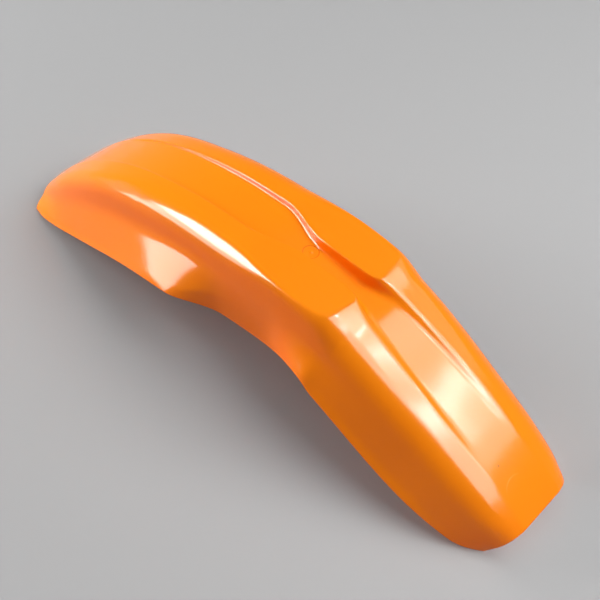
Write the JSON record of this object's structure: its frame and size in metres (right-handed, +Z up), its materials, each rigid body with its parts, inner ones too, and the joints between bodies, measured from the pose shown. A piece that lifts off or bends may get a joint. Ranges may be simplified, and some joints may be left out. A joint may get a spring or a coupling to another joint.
{
  "type": "motorcycle front mudguard",
  "caption": "Long arched moulded shell that covers a motorcycle's front wheel, with a centre channel, flat yoke pads, a narrow fork waist and flared side wings.",
  "frame": {"origin": "on the surface that the two ends stand on, under the middle of the bounding box", "axes": "+X forward to the tip, +Y to the rider's left, +Z up, away from the wheel axle"},
  "size_m": [0.672, 0.1874, 0.157],
  "materials": {
    "mudguard": "gloss moulded polypropylene, coloured through"
  },
  "bodies": {
    "root": {"mudguard": "mudguard"}
  },
  "joints": []
}
